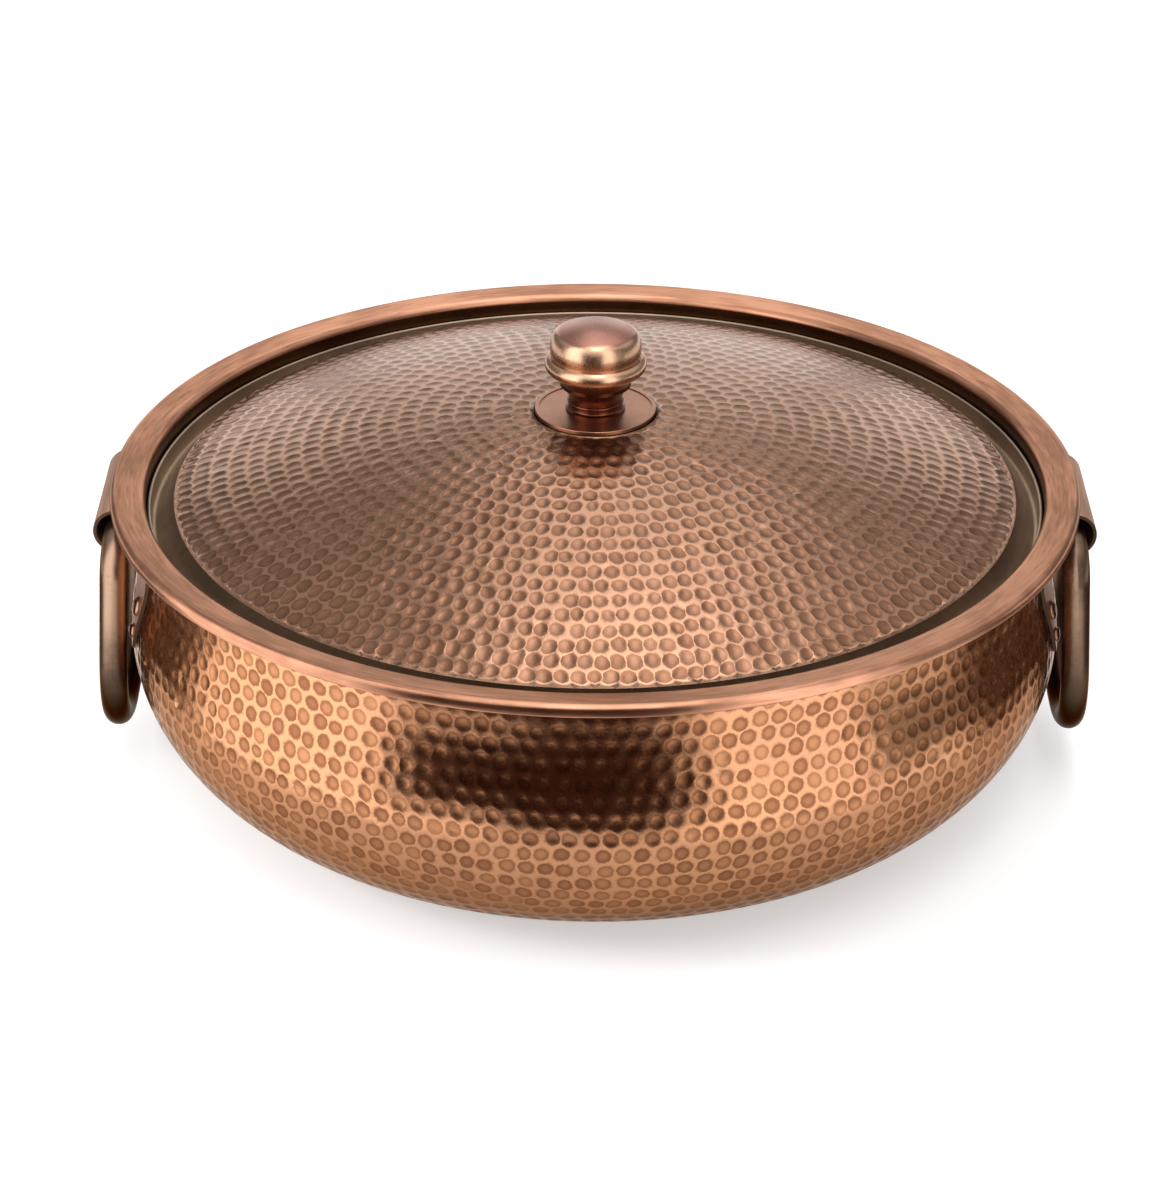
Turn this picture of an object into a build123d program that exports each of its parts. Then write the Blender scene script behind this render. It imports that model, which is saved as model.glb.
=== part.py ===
from build123d import *
from math import asin, atan2, cos, degrees, radians, sin, sqrt
import os

# A hammered copper pot with a sunk lid and two drop handles.
# Millimetres, +Z up. The origin is the middle of the flat base, on the surface the pot stands on.
# The handles are on the X axis and the pot's front faces -Y. Depths are measured down from the rim's crest.

# Pot
rim_height = 122.2            # the rim's inner crest above the base
rim_radius = 190.0
flange_width = 13.7           # from the neck's inner face to the rim's outer edge
pot_sheet = 2.0
neck_length = 17.0            # straight part of the neck below the crest
belly_depth = 60.0
belly_bulge = 5.8             # how far the belly stands out from the neck
belly_arc_radius = 52.0
belly_arc_turn = 25.0
heel_radius = 200.0           # wide arc between the corner and the flat base
heel_rise = 0.5               # how far the corner's arc stays above the base
crest_radius = 3.0
flange_slope = 5.0            # the flange rises outward by this many degrees
lip_corner_radius = 2.6
lip_depth = 3.8

# Ledge inside the neck that carries the lid
seat_sheet = 1.5
seat_width = 9.0
seat_skirt = 7.0
seat_bend_radius = 1.2
seat_clearance = 0.3          # between the ledge and the lid's trough
braze_gap = 0.05

# Lid
lid_sheet = 1.3
lid_gap = 0.7                 # between the lid's lip and the neck
lid_drop = 7.2                # the lip's top edge below the crest
trough_depth = 7.4            # below the lip's top edge
trough_bend_radius = 0.9
trough_floor = 0.3
trough_radius = 1.0
shoulder_slope = 51.0
shoulder_run = 11.2           # straight slope between the trough and the dome's shoulder
lid_shoulder_radius = 5.0
dome_edge_slope = 21.7

# Knob, with its heights measured up from the disc's top face
disc_radius = 23.6
disc_sheet = 1.3
disc_rim_width = 1.6
disc_rim_rise = 0.4
pad_margin = 0.6              # the dome's flat pad is this much wider than the disc
foot_radius = 11.7
foot_lip = 0.8
waist_radius = 10.4
waist_height = 2.0
neck_ring_proud = 0.6
neck_ring_height = 3.6
neck_ring_width = 1.4
throat_radius = 13.0
throat_height = 10.4
collar_step = 0.9
collar_height = 1.4
bead_radius = 19.9
bead_inset = 3.4              # the bead's underside starts this far inside its edge
bead_base_height = 15.9
bead_width = 6.2
groove_radius = 17.4
groove_step = 0.8
groove_height = 22.8
cap_radius = 17.8
cap_wide_height = 25.4
cap_side_height = 29.4
cap_taper = 0.6
facet_radius = 14.4
facet_height = 32.5
facet_start_slope = 16.0
knob_height = 34.6
screw_radius = 3.0
screw_hole_clearance = 0.3
thread_clearance = 0.05
screw_depth = 16.0            # length of screw inside the knob
tapping_spare = 1.5           # the knob's hole runs this far past the screw's end
screw_head_radius = 5.5
screw_head_height = 3.2
screw_slot_width = 1.4
screw_slot_depth = 1.2
washer_radius = 8.0
washer_sheet = 1.2

# Drop handles
rod_radius = 5.5
ring_half_width = 42.0
ring_drop = 88.1              # from the bar's axis to the bow's lowest centre
ring_corner_radius = 12.0
ring_lean = 3.3               # degrees out of plumb, where the ring rests against the lower rivets
bar_inset = 4.5               # the bar's axis inside the rim's outer edge
bar_sag = 1.5                 # the bar's axis below the curl's axis

# Brackets
bracket_sheet = 1.3
bracket_half_length = 28.0
bracket_under_lip = 0.35      # between the strap and the rim's lip
curl_turn = 190.0
curl_inset = 3.8              # the curl's axis inside the rim's outer edge
curl_room = 2.1               # the curl's inner radius less the bar's
lobe_top_offset = 47.0        # half width of the plate just under the rim
lobe_side_offset = 49.5
lobe_side_depth = 32.0
lobe_tip_offset = 41.5
lobe_tip_depth = 57.0
lobe_inner_offset = 31.0
lobe_inner_depth = 36.0
arch_depth = 21.0

# Rivets, the large one above the small one on each lobe
rivet_offset = 41.0           # from the handle's middle, along Y
rivet_depths = (39.0, 49.5)
rivet_head_radii = (3.9, 2.9)
rivet_shank_radii = (2.0, 1.6)
rivet_head_height = 1.3
rivet_tail_height = 0.9
rivet_clearance = 0.05
rivet_seat = 0.12             # lets a flat head lie on the curved sheet

# Sizes worked out from the ones above
half_sheet = pot_sheet / 2
inner_neck_radius = rim_radius - flange_width
neck_radius = inner_neck_radius + pot_sheet
belly_radius = neck_radius + belly_bulge
belly_height = rim_height - belly_depth
shoulder_rise = belly_depth - neck_length
shoulder_turn = degrees(2 * atan2(belly_bulge, shoulder_rise))
shoulder_radius = shoulder_rise / sin(radians(shoulder_turn)) / 2
belly_sin = sin(radians(belly_arc_turn))
corner_radius = (belly_height - belly_arc_radius * belly_sin - heel_rise) / (1 - belly_sin)
heel_reach = heel_radius - corner_radius
heel_turn = degrees(atan2(sqrt(heel_reach ** 2 - (heel_reach - heel_rise) ** 2), heel_reach - heel_rise))
corner_turn = 90 - belly_arc_turn - heel_turn
base_radius = (belly_radius - belly_arc_radius * (1 - cos(radians(belly_arc_turn)))
               - corner_radius * (cos(radians(belly_arc_turn)) - sin(radians(heel_turn)))
               - heel_radius * sin(radians(heel_turn)))

lid_radius = inner_neck_radius - lid_gap
trough_under_depth = lid_drop + trough_depth + lid_sheet
seat_top = rim_height - trough_under_depth - seat_clearance
seat_outer = inner_neck_radius - braze_gap

strap_top = rim_height - lip_depth - bracket_under_lip
curl_radius = rod_radius + curl_room + bracket_sheet
curl_x = rim_radius - curl_inset
bar_x = rim_radius - bar_inset
bar_z = strap_top - curl_radius - bar_sag


def wall_at(depth):
    """The wall's outer radius at a depth below the crest, and how far its normal tips up, in degrees."""
    if depth <= neck_length:
        return neck_radius, 0.0
    if depth <= (neck_length + belly_depth) / 2:
        tip = asin((depth - neck_length) / shoulder_radius)
        return neck_radius + shoulder_radius * (1 - cos(tip)), degrees(tip)
    arc_radius = shoulder_radius if depth <= belly_depth else belly_arc_radius
    tip = asin((belly_depth - depth) / arc_radius)
    return belly_radius - arc_radius * (1 - cos(tip)), degrees(tip)


def wall_plane(depth, offset):
    """A plane on the right side's wall, `offset` along Y, with its Z pointing out of the wall."""
    radius, tip = wall_at(depth)
    side = asin(offset / radius)
    outward = Vector(cos(side), sin(side), 0)
    return Plane(origin=outward * radius + Vector(0, 0, rim_height - depth),
                 x_dir=(-sin(side), cos(side), 0),
                 z_dir=outward * cos(radians(tip)) + Vector(0, 0, sin(radians(tip))))


# Pot body: one sheet, traced along its middle line from the base's centre to the rim's lip
with BuildPart() as pot_body:
    with BuildSketch(Plane.XZ):
        with BuildLine():
            base = Line((0, half_sheet), (base_radius, half_sheet))
            heel = JernArc(base @ 1, (1, 0), heel_radius - half_sheet, heel_turn)
            corner = JernArc(heel @ 1, heel % 1, corner_radius - half_sheet, corner_turn)
            belly = JernArc(corner @ 1, corner % 1, belly_arc_radius - half_sheet, belly_arc_turn)
            shoulder = JernArc(belly @ 1, (0, 1), shoulder_radius - half_sheet, shoulder_turn)
            neck_in = JernArc(shoulder @ 1, shoulder % 1, shoulder_radius + half_sheet, -shoulder_turn)
            neck = Line(neck_in @ 1, (neck_radius - half_sheet, rim_height - crest_radius))
            crest = JernArc(neck @ 1, (0, 1), crest_radius - half_sheet, flange_slope - 90)
            lip_start = rim_radius - lip_corner_radius - (lip_corner_radius - half_sheet) * sin(
                radians(flange_slope))
            flange = PolarLine(crest @ 1, (lip_start - (crest @ 1).X) / cos(radians(flange_slope)),
                               flange_slope)
            lip_corner = JernArc(flange @ 1, flange % 1, lip_corner_radius - half_sheet,
                                 -90 - flange_slope)
            Line(lip_corner @ 1, (rim_radius - half_sheet, rim_height - lip_depth))
        trace(line_width=pot_sheet)
    revolve(axis=Axis.Z)
    for rivet_depth, shank_radius in zip(rivet_depths, rivet_shank_radii):
        for offset in (-rivet_offset, rivet_offset):
            place = wall_plane(rivet_depth, offset).location
            with Locations(place, place.mirror(Plane.YZ)):
                Cylinder(shank_radius + rivet_clearance, 4 * pot_sheet, mode=Mode.SUBTRACT)

# Ledge brazed inside the neck, for the lid's trough to rest on
with BuildPart() as lid_seat_ring:
    with BuildSketch(Plane.XZ):
        with BuildLine():
            skirt_x = seat_outer - seat_sheet / 2
            skirt = Line((skirt_x, seat_top - seat_skirt), (skirt_x, seat_top - seat_bend_radius))
            seat_bend = JernArc(skirt @ 1, (0, 1), seat_bend_radius - seat_sheet / 2, 90)
            Line(seat_bend @ 1, (seat_outer - seat_width, (seat_bend @ 1).Y))
        trace(line_width=seat_sheet)
    revolve(axis=Axis.Z)

# Lid: one sheet, traced along its middle line from the lip's top edge to the axis
half_lid = lid_sheet / 2
with BuildPart() as lid:
    with BuildSketch(Plane.XZ):
        with BuildLine():
            lip_x = lid_radius - half_lid
            lip_foot = rim_height - lid_drop - trough_depth + trough_bend_radius
            lip = Line((lip_x, rim_height - lid_drop), (lip_x, lip_foot))
            lip_bend = JernArc(lip @ 1, (0, -1), trough_bend_radius + half_lid, -90)
            trough = PolarLine(lip_bend @ 1, trough_floor, 180)
            rise = JernArc(trough @ 1, (-1, 0), trough_radius + half_lid, -shoulder_slope)
            slope = PolarLine(rise @ 1, shoulder_run, 180 - shoulder_slope)
            brow = JernArc(slope @ 1, slope % 1, lid_shoulder_radius - half_lid,
                           shoulder_slope - dome_edge_slope)
            dome_radius = (brow @ 1).X / sin(radians(dome_edge_slope))
            pad_slope = degrees(asin((disc_radius + pad_margin) / dome_radius))
            dome = JernArc(brow @ 1, brow % 1, dome_radius, dome_edge_slope - pad_slope)
            Line(dome @ 1, (0, (dome @ 1).Y))
        trace(line_width=lid_sheet)
    revolve(axis=Axis.Z)
    Cylinder(screw_radius + screw_hole_clearance, 4 * rim_height, mode=Mode.SUBTRACT)
pad_top = (dome @ 1).Y + half_lid
pad_under = pad_top - lid_sheet
disc_top = pad_top + disc_sheet

# Knob's disc, with a slight raised rim
with BuildPart() as knob_disc:
    with BuildSketch(Plane.XY.offset(pad_top)):
        Circle(disc_radius)
        Circle(screw_radius + screw_hole_clearance, mode=Mode.SUBTRACT)
    extrude(amount=disc_sheet)
    with BuildSketch(Plane.XY.offset(disc_top)):
        Circle(disc_radius)
        Circle(disc_radius - disc_rim_width, mode=Mode.SUBTRACT)
    extrude(amount=disc_rim_rise)
    fillet(knob_disc.edges().group_by(Axis.Z)[-1], disc_rim_rise / 2)

# Knob: a turned piece with a waist, a neck ring, a collar, a bead, a groove and a cap
with BuildPart() as knob_head:
    with BuildSketch(Plane(origin=(0, 0, disc_top), x_dir=(1, 0, 0), z_dir=(0, -1, 0))):
        with BuildLine():
            ring_low = neck_ring_height - neck_ring_width / 2
            ring_high = neck_ring_height + neck_ring_width / 2
            bead_top = bead_base_height + bead_width
            collar_radius = throat_radius + collar_step
            Polyline((0, 0), (foot_radius, 0), (foot_radius, foot_lip))
            foot_cove = Spline((foot_radius, foot_lip), (waist_radius, waist_height),
                               tangents=((-1, 0.4), (0, 1)))
            Line(foot_cove @ 1, (waist_radius, ring_low))
            neck_ring = ThreePointArc((waist_radius, ring_low),
                                      (waist_radius + neck_ring_proud, neck_ring_height),
                                      (waist_radius, ring_high))
            Spline(neck_ring @ 1, (throat_radius, throat_height), tangents=((0, 1), (0.5, 1)))
            Polyline((throat_radius, throat_height), (collar_radius, throat_height),
                     (collar_radius, throat_height + collar_height),
                     (bead_radius - bead_inset, bead_base_height))
            ThreePointArc((bead_radius - bead_inset, bead_base_height),
                          (bead_radius, bead_base_height + bead_width / 2),
                          (groove_radius + groove_step, bead_top))
            Polyline((groove_radius + groove_step, bead_top), (groove_radius, bead_top),
                     (groove_radius, groove_height))
            cap_side = ThreePointArc((groove_radius, groove_height), (cap_radius, cap_wide_height),
                                     (cap_radius - cap_taper, cap_side_height))
            facet_slope = radians(facet_start_slope)
            cap_brow = Spline(cap_side @ 1, (facet_radius, facet_height),
                              tangents=(cap_side % 1, (-cos(facet_slope), sin(facet_slope))))
            Spline(cap_brow @ 1, (0, knob_height), tangents=(cap_brow % 1, (-1, 0)))
            Line((0, knob_height), (0, 0))
        make_face()
    revolve(axis=Axis.Z)
    with Locations((0, 0, disc_top)):
        Cylinder(screw_radius + thread_clearance, screw_depth + tapping_spare,
                 align=(Align.CENTER, Align.CENTER, Align.MIN), mode=Mode.SUBTRACT)

# Washer and slotted screw under the lid
with BuildPart() as knob_washer:
    with BuildSketch(Plane.XY.offset(pad_under)):
        Circle(washer_radius)
        Circle(screw_radius + screw_hole_clearance, mode=Mode.SUBTRACT)
    extrude(amount=-washer_sheet)

head_top = pad_under - washer_sheet
with BuildPart() as knob_screw:
    with BuildSketch(Plane.XY.offset(head_top)):
        Circle(screw_head_radius)
    extrude(amount=-screw_head_height)
    fillet(knob_screw.edges().group_by(Axis.Z)[0], screw_head_height / 3)
    with BuildSketch(Plane.XY.offset(head_top - screw_head_height)):
        Rectangle(3 * screw_head_radius, screw_slot_width)
    extrude(amount=screw_slot_depth, mode=Mode.SUBTRACT)
    with BuildSketch(Plane.XY.offset(head_top)):
        Circle(screw_radius)
    extrude(amount=disc_top + screw_depth - head_top)

# Right handle's ring: one loop of round rod in a plane that leans out from plumb
lean = radians(ring_lean)
ring_plane = Plane(origin=(bar_x, 0, bar_z), x_dir=(0, 1, 0), z_dir=(cos(lean), 0, sin(lean)))
with BuildPart() as ring_handle_right:
    with BuildLine(ring_plane):
        bar_half = ring_half_width - ring_corner_radius
        bar = Line((0, 0), (bar_half, 0))
        near_corner = JernArc(bar @ 1, (1, 0), ring_corner_radius, -90)
        near_leg = Line(near_corner @ 1, (ring_half_width, ring_half_width - ring_drop))
        bow = JernArc(near_leg @ 1, (0, -1), ring_half_width, -180)
        far_leg = Line(bow @ 1, (-ring_half_width, -ring_corner_radius))
        far_corner = JernArc(far_leg @ 1, (0, 1), ring_corner_radius, -90)
        Line(far_corner @ 1, (0, 0))
    with BuildSketch(Plane(origin=ring_plane.origin, z_dir=(0, 1, 0))):
        Circle(rod_radius)
    sweep()

# Right bracket's plate: a band on the wall, cut to two pointed lobes
plate_middle = braze_gap + bracket_sheet / 2
with BuildPart() as lobe_plate:
    with BuildSketch(Plane.XZ):
        with BuildLine():
            plate_neck = Line((neck_radius + plate_middle, strap_top),
                              (neck_radius + plate_middle, rim_height - neck_length))
            plate_out = JernArc(plate_neck @ 1, (0, -1), shoulder_radius - plate_middle, shoulder_turn)
            plate_in = JernArc(plate_out @ 1, plate_out % 1, shoulder_radius + plate_middle,
                               -shoulder_turn)
            JernArc(plate_in @ 1, (0, -1), belly_arc_radius + plate_middle, -belly_arc_turn)
        trace(line_width=bracket_sheet)
    revolve(axis=Axis.Z)
    with BuildSketch(Plane.YZ):
        with BuildLine():
            Line((0, strap_top), (lobe_top_offset, strap_top))
            Spline((lobe_top_offset, strap_top), (lobe_side_offset, rim_height - lobe_side_depth),
                   (lobe_tip_offset, rim_height - lobe_tip_depth))
            Spline((lobe_tip_offset, rim_height - lobe_tip_depth),
                   (lobe_inner_offset, rim_height - lobe_inner_depth), (0, rim_height - arch_depth),
                   tangents=((-0.45, 1), (-1, 0)))
            mirror(about=Plane.YZ)
        make_face()
    extrude(amount=2 * rim_radius, mode=Mode.INTERSECT)
    for rivet_depth, shank_radius in zip(rivet_depths, rivet_shank_radii):
        for offset in (-rivet_offset, rivet_offset):
            with Locations(wall_plane(rivet_depth, offset).location):
                Cylinder(shank_radius + rivet_clearance, 4 * pot_sheet, mode=Mode.SUBTRACT)

# Right bracket: the strap and its curl round the bar, joined to the plate
with BuildPart() as handle_bracket_right:
    with BuildSketch(Plane.XZ):
        with BuildLine():
            strap_z = strap_top - bracket_sheet / 2
            strap = Line((inner_neck_radius * cos(asin(bracket_half_length / inner_neck_radius)), strap_z),
                         (curl_x, strap_z))
            JernArc(strap @ 1, (1, 0), curl_radius - bracket_sheet / 2, -curl_turn)
        trace(line_width=bracket_sheet)
    extrude(amount=bracket_half_length, both=True)
    Cylinder(neck_radius + plate_middle, 4 * rim_height, mode=Mode.SUBTRACT)
    add(lobe_plate.part)

# Right bracket's rivets: a domed head outside, a shank through plate and wall, a flat tail inside
with BuildPart() as bracket_rivets_right:
    head_base = braze_gap + bracket_sheet + rivet_seat
    tail_base = -pot_sheet - rivet_seat
    for rivet_depth, head_radius, shank_radius in zip(rivet_depths, rivet_head_radii, rivet_shank_radii):
        for offset in (-rivet_offset, rivet_offset):
            place = wall_plane(rivet_depth, offset)
            with BuildSketch(Plane(origin=place.origin, x_dir=place.x_dir, z_dir=-place.y_dir)):
                with BuildLine():
                    Polyline((0, tail_base - rivet_tail_height),
                             (head_radius, tail_base - rivet_tail_height), (head_radius, tail_base),
                             (shank_radius, tail_base), (shank_radius, head_base),
                             (head_radius, head_base))
                    Spline((head_radius, head_base), (0, head_base + rivet_head_height),
                           tangents=((-0.15, 1), (-1, 0)))
                    Line((0, head_base + rivet_head_height), (0, tail_base - rivet_tail_height))
                make_face()
            revolve(axis=Axis(place.origin, place.z_dir))

# The left side's pieces mirror the right side's
with BuildPart() as ring_handle_left:
    mirror(ring_handle_right.part, about=Plane.YZ)
with BuildPart() as handle_bracket_left:
    mirror(handle_bracket_right.part, about=Plane.YZ)
with BuildPart() as bracket_rivets_left:
    mirror(bracket_rivets_right.part, about=Plane.YZ)

pieces = {
    "pot_body": pot_body,
    "lid_seat_ring": lid_seat_ring,
    "lid": lid,
    "knob_disc": knob_disc,
    "knob_head": knob_head,
    "knob_washer": knob_washer,
    "knob_screw": knob_screw,
    "ring_handle_left": ring_handle_left,
    "ring_handle_right": ring_handle_right,
    "handle_bracket_left": handle_bracket_left,
    "handle_bracket_right": handle_bracket_right,
    "bracket_rivets_left": bracket_rivets_left,
    "bracket_rivets_right": bracket_rivets_right,
}
os.makedirs("parts", exist_ok=True)
for name, piece in pieces.items():
    piece.part.label = name
    export_step(piece.part, f"parts/{name}.step")
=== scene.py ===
import math

import bpy
import numpy as np
from mathutils import Euler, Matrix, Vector
from mathutils.geometry import delaunay_2d_cdt


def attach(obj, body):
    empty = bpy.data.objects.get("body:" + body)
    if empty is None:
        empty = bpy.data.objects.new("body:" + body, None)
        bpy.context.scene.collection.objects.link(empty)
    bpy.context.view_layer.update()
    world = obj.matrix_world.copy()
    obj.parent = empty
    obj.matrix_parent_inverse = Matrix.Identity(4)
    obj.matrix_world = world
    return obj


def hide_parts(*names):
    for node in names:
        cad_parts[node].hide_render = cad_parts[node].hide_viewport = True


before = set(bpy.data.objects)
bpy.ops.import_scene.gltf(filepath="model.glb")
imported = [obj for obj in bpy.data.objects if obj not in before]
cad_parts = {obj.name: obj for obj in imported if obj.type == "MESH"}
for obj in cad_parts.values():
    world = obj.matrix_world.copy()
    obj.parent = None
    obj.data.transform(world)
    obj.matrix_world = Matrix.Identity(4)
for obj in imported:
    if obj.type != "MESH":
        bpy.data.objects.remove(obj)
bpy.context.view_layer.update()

MM = 0.001

# Driving sizes, in millimetres, as the solids have them
rim_height = 122.2
rim_radius = 190.0
flange_width = 13.7
pot_sheet = 2.0
neck_length = 17.0
belly_depth = 60.0
belly_bulge = 5.8
belly_arc_radius = 52.0
belly_arc_turn = 25.0
heel_radius = 200.0
heel_rise = 0.5
crest_radius = 3.0
flange_slope = 5.0
lip_corner_radius = 2.6
lip_depth = 3.8
lip_edge_round = 0.6          # the rounded edges of the lip's cut end

lid_sheet = 1.3
lid_gap = 0.7
lid_drop = 7.2
trough_depth = 7.4
trough_bend_radius = 0.9
trough_floor = 0.3
trough_radius = 1.0
shoulder_slope = 51.0
shoulder_run = 11.2
lid_shoulder_radius = 5.0
dome_edge_slope = 21.7
disc_radius = 23.6
disc_sheet = 1.3
knob_bead_foot = 15.9         # above the disc's top face, as is the next height
knob_facet_height = 32.5
pad_margin = 0.6
screw_hole_radius = 3.3

# Hammer marks: spacing round a row and between rows, half width and half height, depth, how far
# a mark strays, how much larger the marks grow over the last rows, and how far from the outer end
# they are shallower
bowl_marks = {"pitch": 7.2, "row_gap": 6.95, "wide": 2.95, "tall": 2.95, "depth": 0.36, "stray": 0.35,
              "growth": 0.0, "calm": 32.0}
lid_marks = {"pitch": 6.1, "row_gap": 7.45, "wide": 2.8, "tall": 3.35, "depth": 0.36, "stray": 0.32,
             "growth": 0.14, "calm": 0.01}
bowl_marks_top = 5.0          # the marks start this far below the rim's top
growing_rows = 3
calm_depth = 0.4              # share of the depth that a mark keeps at the outer end
hollow_share = 0.62           # how far out a mark's inner ring of points lies
longest_spoke = 0.94          # how far a mark's edge comes at most towards the next mark, 1 is halfway

# How uneven the strikes are, as spreads about an even pattern, with the ranges that some keep to
end_room = 0.1                # room beyond the first and last rows, in rows
row_turn_spread = 0.1
place_spread = 0.07
lean_spread = 0.3
slant_spread = 0.22
size_spread, size_range = 0.06, (0.84, 1.12)
squeeze_spread, squeeze_range = 0.06, (0.86, 1.14)
depth_spread, depth_range = 0.12, (0.7, 1.3)

# Wear of the metal, from the bottom of a mark up to the land between the marks; it also places the painted
# shade at the marks' edges and round the inner boundary ring
bottom_wear, hollow_wear, edge_wear, land_wear = 0.0, 0.5, 0.86, 1.0
plain_tone = 0.5

# Places in a hammered piece's list of materials
MARKED, RIM, INSIDE = 0, 1, 2

# Worked out as in the solids
half_sheet = pot_sheet / 2
inner_neck_radius = rim_radius - flange_width
neck_radius = inner_neck_radius + pot_sheet
belly_radius = neck_radius + belly_bulge
shoulder_rise = belly_depth - neck_length
shoulder_turn = math.degrees(2 * math.atan2(belly_bulge, shoulder_rise))
shoulder_radius = shoulder_rise / math.sin(math.radians(shoulder_turn)) / 2
belly_sin = math.sin(math.radians(belly_arc_turn))
corner_radius = (rim_height - belly_depth - belly_arc_radius * belly_sin - heel_rise) / (1 - belly_sin)
heel_reach = heel_radius - corner_radius
heel_turn = math.degrees(math.atan2(math.sqrt(heel_reach ** 2 - (heel_reach - heel_rise) ** 2),
                                    heel_reach - heel_rise))
corner_turn = 90 - belly_arc_turn - heel_turn
base_radius = (belly_radius - belly_arc_radius * (1 - math.cos(math.radians(belly_arc_turn)))
               - corner_radius * (math.cos(math.radians(belly_arc_turn)) - math.sin(math.radians(heel_turn)))
               - heel_radius * math.sin(math.radians(heel_turn)))
half_lid = lid_sheet / 2
lid_radius = inner_neck_radius - lid_gap


class Trace:
    """A line of runs and arcs in the plane of radius and height, with its heading at every point."""

    def __init__(self, start, heading):
        self.points = [start]
        self.headings = [math.radians(heading)]

    def run(self, length, steps):
        x, z = self.points[-1]
        turn = self.headings[-1]
        for i in range(1, steps + 1):
            reach = length * i / steps
            self.points.append((x + reach * math.cos(turn), z + reach * math.sin(turn)))
            self.headings.append(turn)
        return self

    def arc(self, radius, turn, steps):
        x, z = self.points[-1]
        start = self.headings[-1]
        side = 1 if turn > 0 else -1
        centre = (x - side * radius * math.sin(start), z + side * radius * math.cos(start))
        for i in range(1, steps + 1):
            now = start + math.radians(turn) * i / steps
            self.points.append((centre[0] + side * radius * math.sin(now),
                                centre[1] - side * radius * math.cos(now)))
            self.headings.append(now)
        return self

    def face(self, offset):
        """Radius, height and outward normal of the sheet's face on the line's right, or on its left."""
        p = np.array(self.points)
        h = np.array(self.headings)
        right = np.stack([np.sin(h), -np.cos(h)], 1)
        return p + right * offset, right * math.copysign(1, offset)


def pot_middle_line():
    """The bowl's wall, from the edge of the flat base up to the end of the straight neck."""
    return (Trace((base_radius, half_sheet), 0)
            .arc(heel_radius - half_sheet, heel_turn, steps=10)
            .arc(corner_radius - half_sheet, corner_turn, steps=40)
            .arc(belly_arc_radius - half_sheet, belly_arc_turn, steps=16)
            .arc(shoulder_radius - half_sheet, shoulder_turn, steps=12)
            .arc(shoulder_radius + half_sheet, -shoulder_turn, steps=12)
            .run(neck_length - bowl_marks_top, steps=6))


def rim_middle_line():
    """From the end of the marks over the crest and out along the flange to the lip's end."""
    line = (Trace((neck_radius - half_sheet, rim_height - bowl_marks_top), 90)
            .run(bowl_marks_top - crest_radius, steps=1)
            .arc(crest_radius - half_sheet, flange_slope - 90, steps=10))
    lip_start = rim_radius - lip_corner_radius - (lip_corner_radius - half_sheet) * math.sin(
        math.radians(flange_slope))
    line.run((lip_start - line.points[-1][0]) / math.cos(math.radians(flange_slope)), steps=4)
    line.arc(lip_corner_radius - half_sheet, -90 - flange_slope, steps=10)
    line.run(line.points[-1][1] - (rim_height - lip_depth + lip_edge_round), steps=1)
    return line


def lid_dome_radius():
    """The radius of the dome's middle line, from where the shoulder meets it."""
    x = lid_radius - half_lid - (trough_bend_radius + half_lid) - trough_floor
    slope = math.radians(shoulder_slope)
    x -= (trough_radius + half_lid) * math.sin(slope) + shoulder_run * math.cos(slope)
    x -= (lid_shoulder_radius - half_lid) * (math.sin(slope) - math.sin(math.radians(dome_edge_slope)))
    return x / math.sin(math.radians(dome_edge_slope))


def lid_pad_height():
    """The top face of the flat pad that the knob's disc lies on."""
    face = lid_marked_line(lid_border_line()).face(half_lid)[0]
    return face[-1][1]


def lid_border_line():
    """The lid's plain border, from the lip's top edge to the end of the marks."""
    return (Trace((lid_radius - half_lid, rim_height - lid_drop), -90)
            .run(trough_depth - trough_bend_radius, steps=3)
            .arc(trough_bend_radius + half_lid, -90, steps=8)
            .run(trough_floor, steps=1)
            .arc(trough_radius + half_lid, -shoulder_slope, steps=8)
            .run(shoulder_run, steps=3))


def lid_marked_line(border):
    """The marked part of the lid, from its border in to the knob's pad."""
    line = Trace(border.points[-1], math.degrees(border.headings[-1]))
    line.arc(lid_shoulder_radius - half_lid, shoulder_slope - dome_edge_slope, steps=12)
    dome_radius = lid_dome_radius()
    pad_slope = math.degrees(math.asin((disc_radius + pad_margin) / dome_radius))
    line.arc(dome_radius, dome_edge_slope - pad_slope, steps=50)
    return line


class Surface:
    """A surface of revolution that can be laid flat without changing small shapes."""

    def __init__(self, face, normals):
        self.radius, self.height = face[:, 0], face[:, 1]
        self.normal = normals
        step = np.hypot(np.diff(self.radius), np.diff(self.height))
        self.along = np.concatenate([[0], np.cumsum(step)])
        middle = (self.radius[1:] + self.radius[:-1]) / 2
        self.log_rho = np.concatenate([[0], np.cumsum(step / middle)])

    def flat(self, along, angle):
        rho = np.exp(np.interp(along, self.along, self.log_rho))
        return np.stack([rho * np.cos(angle), rho * np.sin(angle)], -1)

    def place(self, flat):
        """Points on the surface, their normals and the millimetres in one unit of the flat sheet."""
        rho = np.hypot(flat[:, 0], flat[:, 1])
        level = np.log(rho)
        turn = flat / rho[:, None]
        radius = np.interp(level, self.log_rho, self.radius)
        height = np.interp(level, self.log_rho, self.height)
        out = np.interp(level, self.log_rho, self.normal[:, 0])
        up = np.interp(level, self.log_rho, self.normal[:, 1])
        points = np.column_stack([turn * radius[:, None], height])
        normals = np.column_stack([turn * out[:, None], up])
        return points, normals / np.linalg.norm(normals, axis=1)[:, None], radius / rho


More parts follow.
